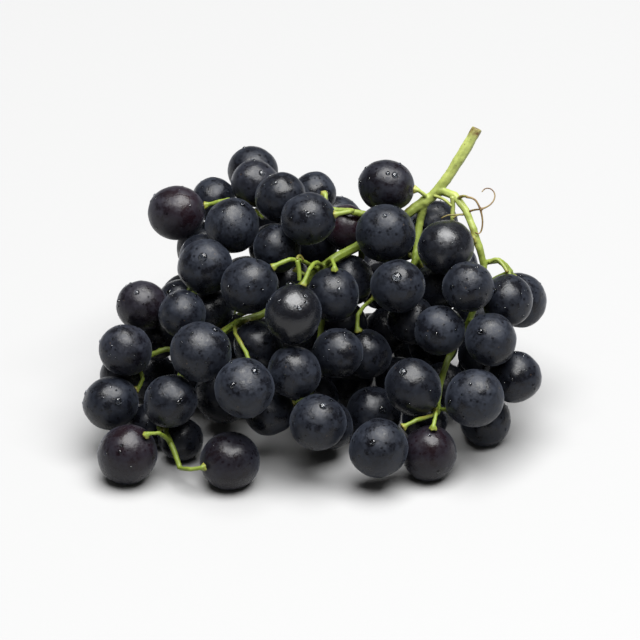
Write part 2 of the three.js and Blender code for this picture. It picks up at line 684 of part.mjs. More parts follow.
// The part's frame stands at the middle of its box, on the table.
const box = new THREE.Box3().setFromObject(bunch);
const middle = box.getCenter(new THREE.Vector3());
bunch.children.forEach((mesh) => mesh.geometry.translate(-middle.x, -middle.y, -box.min.z));

export default bunch;
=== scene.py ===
"""A bunch of blue-black grapes on a white table, with water drops on its bloomed skins."""

import functools
import itertools
import math
import random

import bmesh
import bpy
from mathutils import Matrix, Vector, bvhtree, kdtree, noise


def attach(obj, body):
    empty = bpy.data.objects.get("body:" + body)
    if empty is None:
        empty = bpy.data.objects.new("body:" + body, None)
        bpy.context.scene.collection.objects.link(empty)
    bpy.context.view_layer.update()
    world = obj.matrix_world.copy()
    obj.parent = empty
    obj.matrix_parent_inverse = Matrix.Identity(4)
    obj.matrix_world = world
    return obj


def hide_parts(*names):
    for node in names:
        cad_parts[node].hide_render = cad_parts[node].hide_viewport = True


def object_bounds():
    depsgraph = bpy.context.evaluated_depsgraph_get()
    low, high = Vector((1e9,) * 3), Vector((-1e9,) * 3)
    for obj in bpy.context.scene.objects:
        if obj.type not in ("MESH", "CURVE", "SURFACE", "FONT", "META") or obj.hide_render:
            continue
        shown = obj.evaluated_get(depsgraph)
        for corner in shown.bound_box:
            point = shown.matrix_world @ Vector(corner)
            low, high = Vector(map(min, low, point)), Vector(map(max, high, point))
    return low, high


bl_info = {
    "name": "Bunch of Grapes",
    "version": (1, 0, 0),
    "blender": (4, 5, 0),
    "location": "View3D > Sidebar > Grapes",
    "description": "Dresses a bunch of grapes: skins with bloom, stalk, tendril and water drops",
    "category": "Object",
}

MM = 0.001
OVAL = 1.06  # a plain berry's length over its width
OUTER_STORIES, INNER_STORIES = 6, 5  # rows of faces from pole to pole of a plain berry

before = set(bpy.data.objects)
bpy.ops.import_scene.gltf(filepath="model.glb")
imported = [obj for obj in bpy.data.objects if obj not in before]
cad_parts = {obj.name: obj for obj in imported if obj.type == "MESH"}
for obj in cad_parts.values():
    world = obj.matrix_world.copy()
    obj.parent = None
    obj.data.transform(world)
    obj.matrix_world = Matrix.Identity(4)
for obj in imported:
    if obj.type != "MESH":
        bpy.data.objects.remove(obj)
cad_low, cad_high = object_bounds()

# The bunch is looked at down this slope, along +Y.
VIEW_SLOPE = math.radians(30)
ACROSS = Vector((1, 0, 0))
RISE = Vector((0, math.sin(VIEW_SLOPE), math.cos(VIEW_SLOPE)))
DEPTH = Vector((0, math.cos(VIEW_SLOPE), -math.sin(VIEW_SLOPE)))

# The middle of the picture, in millimetres from the frame's origin, and the picture's width there.
AIM_ACROSS, AIM_RISE, AIM_DEPTH = 1.7, 31.4, -23.1
PICTURE_WIDTH = 213.3
PICTURE_MIDDLE_RISE = 53.3  # the middle of the picture, up from the line that its rises are measured from

# The pieces of fine berries, each with the numbers of the plain berries that it replaces.
BERRY_GROUPS = {
    "front_left_berries": (4, 5, 6, 8, 9, 33, 34, 35, 36, 37, 38, 39),
    "tip_berries": (40, 41, 42, 43, 44),
    "top_berries": (10, 11, 12, 13, 14, 15, 16, 17, 18),
    "stalk_berries": (1, 2, 3, 7, 19, 20, 21, 22),
    "right_berries": (23, 24, 25, 26, 27, 28, 29, 30, 31, 32),
    "back_berries": (45, 46, 47, 48, 49, 50, 51, 52, 53, 54, 55),
}

# Berries that are less ripe than the rest: how far their skin turns from blue-black to wine red.
RUDDY = {16: 0.85, 12: 1.0, 39: 0.75, 43: 0.6, 44: 0.35, 27: 0.6, 1: 0.3, 17: 0.2, 40: 0.2}

# How much bloom is left on a seen berry's skin, where it isn't the usual share.
BLOOM_LEFT = {
    1: 0.7, 2: 0.85, 5: 0.85, 6: 0.22, 8: 1.0, 9: 0.8, 10: 0.95, 11: 0.75, 16: 0.8, 19: 0.85, 22: 0.4,
    23: 0.8, 24: 0.5, 25: 0.95, 26: 0.8, 27: 0.5, 28: 0.75, 30: 0.95, 33: 0.9, 34: 0.7, 36: 0.85, 40: 0.9,
    42: 0.65, 43: 0.55, 44: 0.55,
}

BARE_BELOW = 0.45  # a berry with less bloom than this has a glossy skin
LEAST_USUAL_BLOOM = 0.6
BLOOM_STEP = 0.618  # from one number to the next, so that neighbours differ
# The inner berries get less bloom than the outer ones, so their skins are darker: painted shade inside the
# bunch.
SHADED_INNER_BLOOM = 0.5
RIPE_GLOSS, BARE_GLOSS = 0.26, 0.5
SKIN_DETAIL, INNER_DETAIL = (44, 30), (32, 22)  # segments round a fine berry, and rings from tip to pedicel

# Limits for finding the plain berries in the frame's meshes.
SAME_CORNER = 0.002 * MM
EVEN_REACH = 0.01 * MM
SKIN_SLACK = 0.02 * MM
SLOPE_SLACK = 0.003
NARROWEST_RING = 3 * MM
LEAST_SHARED = 12  # a plain berry has more of its node's corners than this on its skin
ON_BERRY = 1.07  # a corner within this many radii of a berry's middle is that berry's
PAST_END = 1.08  # just past a berry's ends, in radii
BERRY_END = 1.05  # about where a pedicel meets its berry, in radii

# How a fine berry departs from its oval.
OUT_OF_ROUND = 0.025  # of its width
SCAR_DEPTH = 0.12  # millimetres
DIMPLE_SPREAD, SCAR_SPREAD = 0.035, 0.004  # along the axis, in radii
SWELLINGS = ((1.0, 1.2), (0.35, 3.0))  # share of the unevenness, and how fine it is
PATTERN_RATES = (12.9, 78.2, 37.7)  # they give each berry its own part of the bloom's patterns

TIP_SCAR = (0.06, 0.04, 0.025)
DARK_GREEN = (0.085, 0.12, 0.014)
STRAW = (0.16, 0.11, 0.03)
WATER = (0.6, 0.64, 0.7)

# The stalk, in millimetres: how far the caps, the pale end and the brown end reach, and its ridges.
CAP_REACH = 1.8
PALE_REACH = 46
BROWN_REACH, BROWN_FADE = 3.8, 2.0
TOP_SPAN, END_SPAN = 3, 12  # the middles of these two stretches give the way in which the cut end points
RIDGES = ((0.17, 260), (0.09, 700))  # height, and how fine
FILLED_OUT = 0.08  # gives back what the smoothing takes

SMALL_DROPS = (0.2, 0.22, 0.24, 0.28, 0.34, 0.45, 0.6)  # radii in millimetres
DROP_HEIGHT = 0.6  # above the skin, of its radius
LARGE_FROM = 0.6  # a drop of a larger radius has finer faces, in millimetres
LEAST_WET = 0.15  # the driest berry's weight when the berry of a small drop is drawn
DROP_CLEARANCE = 0.8 * MM
LOWEST_DROP = 4 * MM
UNDERSIDE = -0.3  # no drop hangs where the skin faces further down than this

# Large drops, each across and up the picture and its radius, in millimetres.
LARGE_DROPS = (
    (-10.0, 65.3, 1.5), (-21.5, 36.3, 1.5), (27.7, 36.0, 1.4), (1.0, 24.6, 1.3), (25.6, 67.6, 1.7),
    (-4.0, 88.6, 1.1), (-19.4, 102.3, 1.1), (25.0, 101.6, 1.2), (22.6, 102.2, 0.8), (-39.0, 74.3, 1.5),
    (-67.2, 26.2, 1.3), (20.8, 23.5, 1.2), (38.6, 24.6, 0.8), (-29.2, 31.6, 1.0), (17.6, 12.6, 1.0),
    (-15.0, 99.0, 0.9), (58.2, 63.0, 0.9), (53.4, 49.5, 1.0), (-47.0, 25.9, 0.9), (-61.0, 62.5, 0.9),
    (-35.0, 50.0, 1.1), (-13.8, 59.6, 0.7), (-4.9, 61.2, 0.8), (-6.9, 57.4, 0.9), (6.4, 63.4, 0.8),
    (-50.4, 62.6, 0.9), (21.6, 88.0, 0.8), (-25.8, 91.8, 0.9), (44.0, 64.5, 0.9), (-56.2, 28.0, 0.7),
)

# Spurs and wisps on the stalk: a route across and up the picture in millimetres, the thickness at its
# start and end, whether it ends on a berry, and how dry it is.
SPURS = (
    (((44.1, 94.5), (44.4, 91.1), (44.1, 88.1), (44.1, 86.0)), 1.7, 1.3, True, 0.15),
    (((38.0, 94.7), (40.0, 94.2), (42.3, 92.9), (44.0, 91.2)), 1.1, 1.0, False, 0.25),
    (((46.3, 93.9), (47.4, 94.9), (48.8, 94.7)), 1.3, 0.8, False, 0.8),
    (((49.9, 89.5), (51.7, 90.3), (53.8, 90.1)), 0.8, 0.5, False, 1.0),
    (((49.9, 89.5), (48.0, 88.2), (46.0, 88.6), (44.3, 87.2)), 0.7, 0.6, False, 0.9),
    (((44.1, 87.0), (43.3, 88.3), (42.0, 88.1), (40.4, 87.2)), 0.7, 0.4, True, 0.8),
    (((-7.7, 73.2), (-6.7, 69.8), (-6.9, 66.3)), 1.7, 1.4, True, 0.0),
    (((-7.7, 73.4), (-7.4, 74.6), (-6.4, 74.7), (-5.6, 73.2)), 1.2, 1.0, False, 0.7),
    (((56.3, 72.4), (58.4, 74.2), (61.0, 71.9), (62.5, 69.2)), 1.4, 1.2, True, 0.1),
)

# How much deeper than the surface a spur runs at its start and its end, how far apart in depth these may
# be, and how near its last point must come to a stem to be joined to it.
ROOT_SINK, END_SINK = 0.4 * MM, 0.2 * MM
DEEPEST_SPUR = 9 * MM
JOINS_WITHIN = 1.5 * MM

# The tries along a line of sight that meets nothing.
TRY_STEP, TRIES = 2 * MM, 40

# The stage, in metres and watts.
TABLE_REACH = 4
STUDIO_LIGHT = 0.12  # strength of the white all round
SOFTBOX_PLACE = (0.32, -0.3, 3.0)
SOFTBOX_AIM = (0, 0, 0.03)
SOFTBOX_SIZE = 3.0
SOFTBOX_POWER = 387.0


def from_picture(across, rise, depth):
    """A point in metres from millimetres across, up and away in the picture."""
    return (ACROSS * across + RISE * rise + DEPTH * depth) * MM


def line_of_sight(across, rise):
    """The camera's place, and the way from it to that place in the picture."""
    distance = bpy.context.scene.grape_stage.camera_distance
    eye = from_picture(AIM_ACROSS, AIM_RISE, AIM_DEPTH) - DEPTH * distance
    aim = from_picture(AIM_ACROSS + across, AIM_RISE + rise - PICTURE_MIDDLE_RISE, AIM_DEPTH)
    return eye, (aim - eye).normalized()


class SkinProperties(bpy.types.PropertyGroup):
    skin: bpy.props.FloatVectorProperty(
        name="Skin", description="Colour of the bare ripe skin", subtype="COLOR", size=3, min=0, max=1,
        default=(0.0016, 0.0015, 0.0023),
    )
    bloom: bpy.props.FloatVectorProperty(
        name="Bloom", description="Colour of the waxy bloom", subtype="COLOR", size=3, min=0, max=1,
        default=(0.0125, 0.0155, 0.0235),
    )
    ruddy: bpy.props.FloatVectorProperty(
        name="Ruddy skin", description="Colour of a skin that is less ripe", subtype="COLOR", size=3,
        min=0, max=1, default=(0.0088, 0.0025, 0.0038),
    )
    blush: bpy.props.FloatVectorProperty(
        name="Blush", description="Colour of the bloom on a less ripe skin", subtype="COLOR", size=3,
        min=0, max=1, default=(0.0172, 0.015, 0.0215),
    )
    swell: bpy.props.FloatProperty(
        name="Swell", description="How far a fine skin stands over the plain berry's, in millimetres",
        default=-0.05, min=-1, max=0.5,
    )
    unevenness: bpy.props.FloatProperty(
        name="Unevenness", description="How far a skin swells and sinks, in millimetres",
        default=0.34, min=0, max=1,
    )
    dimple: bpy.props.FloatProperty(
        name="Dimple", description="Depth of the dimple round the pedicel, in millimetres",
        default=0.35, min=0, max=1.5,
    )


class StalkProperties(bpy.types.PropertyGroup):
    green: bpy.props.FloatVectorProperty(
        name="Green", description="Colour of the fresh stalk", subtype="COLOR", size=3, min=0, max=1,
        default=(0.14, 0.185, 0.022),
    )
    pale: bpy.props.FloatVectorProperty(
        name="Pale green", description="Colour of the thick end of the stalk", subtype="COLOR", size=3,
        min=0, max=1, default=(0.44, 0.48, 0.15),
    )
    cap: bpy.props.FloatVectorProperty(
        name="Cap", description="Colour of a pedicel where it meets its berry", subtype="COLOR", size=3,
        min=0, max=1, default=(0.2, 0.13, 0.03),
    )
    dry: bpy.props.FloatVectorProperty(
        name="Dry", description="Colour of the cut end, the tendril and the corky spots", subtype="COLOR",
        size=3, min=0, max=1, default=(0.09, 0.042, 0.014),
    )
    grain: bpy.props.FloatProperty(
        name="Grain", description="Voxel size of the fine stalk, in millimetres", default=0.32, min=0.2,
        max=1,
    )


class DropProperties(bpy.types.PropertyGroup):
    small_count: bpy.props.IntProperty(
        name="Small drops", description="How many small drops are tried", default=2600, min=0, max=5000,
    )
    seed: bpy.props.IntProperty(name="Seed", description="Seed of the small drops' places", default=5, min=0)


class StageProperties(bpy.types.PropertyGroup):
    camera_distance: bpy.props.FloatProperty(
        name="Camera distance", description="From the camera to the middle of the bunch", subtype="DISTANCE",
        unit="LENGTH", default=4.0, min=0.5, max=8,
    )
    table: bpy.props.FloatVectorProperty(
        name="Table", description="Colour of the table", subtype="COLOR", size=3, min=0, max=1,
        default=(0.28, 0.28, 0.28),
    )


def nodes_named(start):
    """The frame's nodes whose names start so, in order."""
    return [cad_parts[name] for name in sorted(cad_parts) if name.startswith(start)]


def merged_copy(node):
    """A bmesh of a node's mesh with its loose triangles merged."""
    mesh = bmesh.new()
    mesh.from_mesh(node.data)
    bmesh.ops.remove_doubles(mesh, verts=mesh.verts, dist=SAME_CORNER)
    return mesh


def berry_at(pole, ring, polar):
    """The berry whose pole has these three vertices in the ring of faces round it, or None."""
    reach = [(co - pole).length for co in ring]
    if max(reach) - min(reach) > EVEN_REACH:
        return None
    axis = (ring[1] - ring[0]).cross(ring[2] - ring[0]).normalized()
    height = (pole - ring[0]).dot(axis)
    if height < 0:
        axis, height = -axis, -height
    width = math.sqrt(max(reach[0] ** 2 - height**2, 0))
    if width < NARROWEST_RING or abs(height / width - OVAL * math.tan(polar / 2)) > SLOPE_SLACK:
        return None
    radius = width / math.sin(polar)
    return pole - axis * OVAL * radius, axis, radius


def shares_skin(point, berry):
    """Whether a point lies on the berry's plain skin."""
    centre, axis, radius = berry
    off = point - centre
    off -= axis * off.dot(axis) * (1 - 1 / OVAL)
    return abs(off.length - radius) < SKIN_SLACK


def berries_in(node, stories):
    """(centre, axis, radius) of each plain berry of a node, found from the fans of faces at its poles."""
    found = []
    mesh = merged_copy(node)
    points = [vert.co.copy() for vert in mesh.verts]
    for pole in mesh.verts:
        if any((pole.co - centre).length < radius * ON_BERRY for centre, _, radius in found):
            continue
        around = [edge.other_vert(pole).co.copy() for edge in pole.link_edges]
        for ring in itertools.combinations(around, 3):
            berry = berry_at(pole.co, ring, math.pi / stories)
            if berry and sum(shares_skin(point, berry) for point in points) > LEAST_SHARED:
                found.append(berry)
                break
    mesh.free()
    return found


@functools.cache
def plain_berries(name):
    """The plain berries of the node of that name; the joined ones have fewer faces."""
    stories = INNER_STORIES if name.startswith("inner") else OUTER_STORIES
    return berries_in(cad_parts[name], stories)


def stem_side(berry, stalk_points):
    """The berry's axis turned towards its own pedicel."""
    centre, axis, radius = berry
    ends = [centre + axis * radius * PAST_END, centre - axis * radius * PAST_END]
    near = [min((point - end).length for point in stalk_points) for end in ends]
    return axis if near[0] <= near[1] else -axis


def shape_skin(verts, berry, looks, phase):
    """Turns a unit sphere's vertices into a berry: oval, uneven, dimpled, and flat on the table."""
    centre, axis, radius = berry
    turn = Vector((0, 0, 1)).rotation_difference(axis).to_matrix()
    wide = 1 + OUT_OF_ROUND * math.sin(phase * 3.1)
    thick = 1 + OUT_OF_ROUND * math.sin(phase * 5.7 + 1)
    oval = (wide, thick, OVAL)
    drift = Vector((phase, 0, 0))
    for vert in verts:
        unit = vert.co.normalized()
        dent = looks.dimple * math.exp((unit.z - 1) / DIMPLE_SPREAD)
        dent += SCAR_DEPTH * math.exp((-1 - unit.z) / SCAR_SPREAD)
        uneven = sum(share * noise.noise(unit * fineness + drift) for share, fineness in SWELLINGS)
        size = radius + (looks.swell + looks.unevenness * uneven - dent) * MM
        vert.co = centre + turn @ Vector([unit[i] * oval[i] for i in range(3)]) * size
        vert.co.z = max(vert.co.z, 0)


def gather(built, one):
    """Adds a small bmesh to a large one, and frees the small one."""
    carrier = bpy.data.meshes.new("carrier")
    one.to_mesh(carrier)
    one.free()
    built.from_mesh(carrier)
    bpy.data.meshes.remove(carrier)


def add_skin(built, berry, tone, tint, looks, phase, detail):
    """Adds one fine berry. Each vertex keeps its place from tip to pedicel, its bloom and its flush."""
    one = bmesh.new()
    stem = one.verts.layers.float.new("stem")
    bloom = one.verts.layers.float.new("bloom")
    ruddy = one.verts.layers.float.new("ruddy")
    shift = one.verts.layers.float_vector.new("shift")
    away = Vector([math.sin(phase * rate) for rate in PATTERN_RATES])
    bmesh.ops.create_uvsphere(one, u_segments=detail[0], v_segments=detail[1], radius=1)
    for vert in one.verts:
        vert[stem] = vert.co.z
        vert[bloom] = tone
        vert[ruddy] = tint
        vert[shift] = away
    for face in one.faces:
        face.material_index = int(tone < BARE_BELOW)
    shape_skin(one.verts, berry, looks, phase)
    gather(built, one)


def add_skins(name, berries, looks, detail=SKIN_DETAIL):
    """One piece of fine berries, each given as the plain berry, its bloom and its flush."""
    built = bmesh.new()
    for index, (berry, tone, tint) in enumerate(berries):
        centre = berry[0]
        phase = 7.3 * index + 100 * centre.x + 37 * centre.z
        add_skin(built, berry, tone, tint, looks, phase, detail)
    return finish_mesh(name, built)


def finish_mesh(name, built, smooth=True):
    """A mesh object from a bmesh, riding on the frame's one body."""
    bmesh.ops.recalc_face_normals(built, faces=built.faces)
    for face in built.faces:
        face.smooth = smooth
    mesh = bpy.data.meshes.new(name)
    built.to_mesh(mesh)
    built.free()
    piece = bpy.data.objects.new(name, mesh)
    bpy.context.scene.collection.objects.link(piece)
    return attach(piece, "root")


def tree_of(pieces):
    """One search tree of all the faces of these pieces."""
    corners = []
    faces = []
    for piece in pieces:
        start = len(corners)
        corners += [vert.co.copy() for vert in piece.data.vertices]
        faces += [[start + index for index in face.vertices] for face in piece.data.polygons]
    return bvhtree.BVHTree.FromPolygons(corners, faces)


def skin_tree():
    """The search tree of all the fine skins."""
    return tree_of([bpy.data.objects[name] for name in (*BERRY_GROUPS, "inner_berries")])


def nearest_to_sight(tree, across, rise):
    """The place on the tree's pieces that is met by that line of sight, or else the nearest to it."""
    eye, way = line_of_sight(across, rise)
    met = tree.ray_cast(eye, way)[0]
    if met:
        return met
    distance = (from_picture(AIM_ACROSS, AIM_RISE, AIM_DEPTH) - eye).length
    places = [eye + way * (distance + step * TRY_STEP) for step in range(-TRIES, TRIES + 1)]
    tries = [tree.find_nearest(place) for place in places]
    return min(tries, key=lambda found: found[3])[0]


class Shader:
    """A material's node tree, with short ways to add and join its nodes."""

    def __init__(self, name):
        self.material = bpy.data.materials.new(name)
        self.material.use_nodes = True
        self.tree = self.material.node_tree
        self.surface = self.tree.nodes["Principled BSDF"]

    def add(self, kind, inputs=(), **settings):
        node = self.tree.nodes.new("ShaderNode" + kind)
        for key, value in settings.items():
            setattr(node, key, value)
        for socket, value in dict(inputs).items():
            self.feed(node.inputs[socket], value)
        return node

    def feed(self, socket, value):
        if isinstance(value, bpy.types.NodeSocket):
            self.tree.links.new(value, socket)
        else:
            socket.default_value = value

    def attribute(self, name, output="Fac"):
        return self.add("Attribute", attribute_name=name).outputs[output]

    def noise(self, place, scale, detail=3.0, roughness=0.5):
        inputs = {"Vector": place, "Scale": scale, "Detail": detail, "Roughness": roughness}
        return self.add("TexNoise", inputs).outputs["Fac"]

    def ramp(self, value, low, high):
        """0 where the value is low, 1 where it is high, smooth between."""
        inputs = {"Value": value, "From Min": low, "From Max": high}
        return self.add("MapRange", inputs, interpolation_type="SMOOTHSTEP").outputs["Result"]

    def maths(self, operation, a, b=0.0, clamp=False):
        return self.add("Math", {0: a, 1: b}, operation=operation, use_clamp=clamp).outputs[0]

    def line(self, value, slope, start):
        """The value times the slope, and the start added."""
        return self.maths("ADD", self.maths("MULTIPLY", value, slope), start)

    def mix(self, share, a, b):
        node = self.add("Mix", data_type="RGBA")
        self.feed(node.inputs["Factor"], share)
        self.feed(node.inputs["A"], a)
        self.feed(node.inputs["B"], b)
        return node.outputs["Result"]


def rgba(colour):
    return (*colour[:3], 1.0)


def bloom_cover(shader, place):
    """How much bloom lies on the skin at a place: cloudy, grainy, smeared off in parts, with bare specks."""
    clouds = shader.noise(place, scale=120.0, detail=3.0, roughness=0.55)
    clouds = shader.ramp(clouds, low=0.3, high=0.7)
    grains = shader.noise(place, scale=620.0, detail=4.0, roughness=0.65)
    grains = shader.ramp(grains, low=0.32, high=0.7)
    smears = shader.noise(place, scale=190.0, detail=6.0, roughness=0.65)
    smears = shader.ramp(smears, low=0.49, high=0.62)
    cells = shader.add("TexVoronoi", {"Vector": place, "Scale": 560.0})
    chosen = shader.ramp(cells.outputs["Color"], low=0.42, high=0.5)
    dots = shader.ramp(cells.outputs["Distance"], low=0.4, high=0.14)
    specks = shader.maths("MULTIPLY", dots, chosen)
    cover = shader.line(clouds, slope=0.5, start=0.22)
    cover = shader.maths("ADD", cover, shader.maths("MULTIPLY", grains, 0.5))
    for worn, share in ((smears, 0.8), (specks, 0.75)):
        left = shader.maths("SUBTRACT", 1.0, shader.maths("MULTIPLY", worn, share))
        cover = shader.maths("MULTIPLY", cover, left)
    return shader.maths("MULTIPLY", cover, shader.attribute("bloom"), clamp=True)


def skin_material(name, gloss, looks):
    """Blue-black skin under a patchy blue-grey bloom, with a wine-red flush on some berries."""
    shader = Shader(name)
    place = shader.add("TexCoord").outputs["Object"]
    shift = shader.attribute("shift", "Vector")
    place = shader.add("VectorMath", {0: place, 1: shift}, operation="ADD").outputs[0]
    stem = shader.attribute("stem")
    ruddy = shader.attribute("ruddy")
    cover = bloom_cover(shader, place)
    flush = shader.line(shader.ramp(stem, low=-0.7, high=0.9), slope=0.8, start=0.2)
    flush = shader.maths("MULTIPLY", flush, ruddy)
    bare = shader.mix(flush, rgba(looks.skin), rgba(looks.ruddy))
    dusty = shader.mix(ruddy, rgba(looks.bloom), rgba(looks.blush))
    colour = shader.mix(cover, bare, dusty)
    tip = shader.ramp(stem, low=-0.9985, high=-0.9995)
    colour = shader.mix(tip, colour, rgba(TIP_SCAR))
    shader.feed(shader.surface.inputs["Base Color"], colour)
    shader.feed(shader.surface.inputs["Roughness"], shader.line(cover, slope=0.4, start=0.2))
    shader.surface.inputs["Specular IOR Level"].default_value = gloss
    shader.surface.inputs["Sheen Weight"].default_value = 0.05
    shader.surface.inputs["Sheen Roughness"].default_value = 0.4
    shader.surface.inputs["Sheen Tint"].default_value = (0.65, 0.75, 1.0, 1.0)
    height = shader.noise(place, scale=560.0, detail=4.0, roughness=0.65)
    bumps = shader.add("Bump", {"Height": height, "Strength": 0.4, "Distance": 0.0004})
    shader.feed(shader.surface.inputs["Normal"], bumps.outputs["Normal"])
    return shader.material


def bloom_on(number):
    """The bloom on a seen or outer berry: as given, or else a share that differs from the next one's."""
    spread = number * BLOOM_STEP % 1
    return BLOOM_LEFT.get(number, LEAST_USUAL_BLOOM + (1 - LEAST_USUAL_BLOOM) * spread)


class GRAPES_OT_skins(bpy.types.Operator):
    """Replaces the plain berries with fine ones"""

    bl_idname = "grapes.skins"
    bl_label = "Berry skins"

    def execute(self, context):
        looks = context.scene.grape_skin
        skins = [
            skin_material("ripe_skin", RIPE_GLOSS, looks),
            skin_material("bare_skin", BARE_GLOSS, looks),
        ]
        stalk_points = [vert.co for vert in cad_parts["rachis"].data.vertices]
        for name, numbers in BERRY_GROUPS.items():
            berries = []
            for number in numbers:
                centre, axis, radius = plain_berries(f"berry_{number:02d}")[0]
                axis = stem_side((centre, axis, radius), stalk_points)
                berries.append(((centre, axis, radius), bloom_on(number), RUDDY.get(number, 0.0)))
            piece = add_skins(name, berries, looks)
            for skin in skins:
                piece.data.materials.append(skin)
            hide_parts(*[f"berry_{number:02d}" for number in numbers])
        return {"FINISHED"}


class GRAPES_OT_inner(bpy.types.Operator):
    """Replaces the joined berries inside and low behind with fine ones"""

    bl_idname = "grapes.inner"
    bl_label = "Inner berries"

    def execute(self, context):
        looks = context.scene.grape_skin
        middle = (cad_low + cad_high) / 2
        berries = []
        for node in nodes_named("inner_berries"):
            for centre, axis, radius in plain_berries(node.name):
                inward = axis if (middle - centre).dot(axis) > 0 else -axis
                # less bloom, so a darker skin: painted shade deep in the bunch
                berries.append(((centre, inward, radius), SHADED_INNER_BLOOM, 0.0))
        piece = add_skins("inner_berries", berries, looks, INNER_DETAIL)
        piece.data.materials.append(bpy.data.materials["ripe_skin"])
        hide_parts(*[node.name for node in nodes_named("inner_berries")])
        return {"FINISHED"}


def all_berries():
    """(centre, axis, radius) of every plain berry."""
    nodes = nodes_named("berry_") + nodes_named("inner_berries")
    return [berry for node in nodes for berry in plain_berries(node.name)]


def apply_modifiers(piece):
    """Keeps what the piece's modifiers make of its mesh."""
    graph = bpy.context.evaluated_depsgraph_get()
    made = bpy.data.meshes.new_from_object(piece.evaluated_get(graph))
    piece.modifiers.clear()
    piece.data = made


def fine_stem(name, node, voxel, rounds):
    """A stem of fine even faces in the form of a plain node, smoothed for that many rounds."""
    piece = finish_mesh(name, merged_copy(node))
    remesh = piece.modifiers.new("grain", "REMESH")
    remesh.mode = "VOXEL"
    remesh.voxel_size = voxel * MM
    smooth = piece.modifiers.new("round", "SMOOTH")
    smooth.factor = 0.5
    smooth.iterations = rounds
    apply_modifiers(piece)
    return piece


def stalk_material(looks):
    """Yellow-green stalk, paler towards its cut end, with brown spots, caps and cut end."""
    shader = Shader("green_stalk")
    place = shader.add("TexCoord").outputs["Object"]
    clouds = shader.noise(place, scale=180.0, detail=4.0, roughness=0.6)
    clouds = shader.ramp(clouds, low=0.3, high=0.7)
    fresh = shader.mix(shader.attribute("pale"), rgba(looks.green), rgba(looks.pale))
    fresh = shader.mix(shader.maths("MULTIPLY", clouds, 0.45), fresh, rgba(DARK_GREEN))
    blotch = shader.noise(place, scale=420.0, detail=4.0, roughness=0.7)
    blotch = shader.ramp(blotch, low=0.4, high=0.62)
    capped = shader.line(blotch, slope=0.5, start=0.5)
    capped = shader.maths("MULTIPLY", shader.attribute("cap"), capped)
    fresh = shader.mix(capped, fresh, rgba(looks.cap))
    spots = shader.add("TexVoronoi", {"Vector": place, "Scale": 700.0}).outputs["Distance"]
    corky = shader.ramp(shader.noise(place, scale=90.0), low=0.48, high=0.58)
    corky = shader.maths("MULTIPLY", shader.ramp(spots, low=0.22, high=0.08), corky)
    dried = shader.line(blotch, slope=0.4, start=0.6)
    dried = shader.maths("MULTIPLY", shader.attribute("dry"), dried)
    share = shader.maths("MAXIMUM", dried, shader.maths("MULTIPLY", corky, 0.75))
    shader.feed(shader.surface.inputs["Base Color"], shader.mix(share, fresh, rgba(looks.dry)))
    shader.surface.inputs["Roughness"].default_value = 0.48
    shader.surface.inputs["IOR"].default_value = 1.42
    shader.surface.inputs["Subsurface Weight"].default_value = 0.1
    shader.surface.inputs["Subsurface Radius"].default_value = (0.0012, 0.0012, 0.0004)
    shader.surface.inputs["Subsurface Scale"].default_value = 1.0
    height = shader.noise(place, scale=900.0, detail=4.0, roughness=0.6)
    bumps = shader.add("Bump", {"Height": height, "Strength": 0.4, "Distance": 0.0003})
    shader.feed(shader.surface.inputs["Normal"], bumps.outputs["Normal"])
    return shader.material


def keep_attribute(mesh, name, values):
    """Keeps one number for each vertex."""
    mesh.attributes.new(name, "FLOAT", "POINT").data.foreach_set("value", values)


def weather_stem(mesh, from_cut):
    """Keeps how pale each point of a stem is, and how much of a cap."""
    berries = all_berries()
    near = kdtree.KDTree(len(berries))
    for index, (centre, _, _) in enumerate(berries):
        near.insert(centre, index)
    near.balance()
    cap = []
    for vert in mesh.vertices:
        found = near.find_n(vert.co, 3)
        gap = min(reach - BERRY_END * berries[index][2] for _, index, reach in found) / MM
        cap.append(max(0.0, 1 - gap / CAP_REACH))
    keep_attribute(mesh, "cap", cap)
    keep_attribute(mesh, "pale", [max(0.0, 1 - far / PALE_REACH) for far in from_cut])


def middle_near(places, spot, reach):
    """The middle of the places that lie within that reach of the spot."""
    near = [place for place in places if (place - spot).length < reach]
    return sum(near, Vector()) / len(near)


def distances_from_cut(mesh, stalk):
    """How far each point of a mesh lies back from the stalk's cut end, in millimetres, straight back."""
    places = [vert.co.copy() for vert in stalk.vertices]
    highest = max(places, key=lambda co: co.dot(RISE))
    top = middle_near(places, highest, TOP_SPAN * MM)
    way = (top - middle_near(places, highest, END_SPAN * MM)).normalized()
    cut = max(place.dot(way) for place in places)
    return [(cut - vert.co.dot(way)) / MM for vert in mesh.vertices]


class GRAPES_OT_stalk(bpy.types.Operator):
    """Replaces the plain stalk with a fine one, brown at the cut end and at the berries"""

    bl_idname = "grapes.stalk"
    bl_label = "Stalk"

    def execute(self, context):
        looks = context.scene.grape_stalk
        piece = fine_stem("stalk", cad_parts["rachis"], looks.grain, rounds=3)
        mesh = piece.data
        from_cut = distances_from_cut(mesh, mesh)
        weather_stem(mesh, from_cut)
        dry = [min(1.0, max(0.0, (BROWN_REACH - far) / BROWN_FADE)) for far in from_cut]
        keep_attribute(mesh, "dry", dry)
        normals = [vert.normal.copy() for vert in mesh.vertices]
        for vert, normal in zip(mesh.vertices, normals):
            ridges = sum(height * noise.noise(vert.co * fineness) for height, fineness in RIDGES)
            vert.co += normal * (ridges + FILLED_OUT) * MM
        for face in mesh.polygons:
            face.use_smooth = True
        mesh.materials.clear()
        mesh.materials.append(stalk_material(looks))
        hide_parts("rachis")
        return {"FINISHED"}


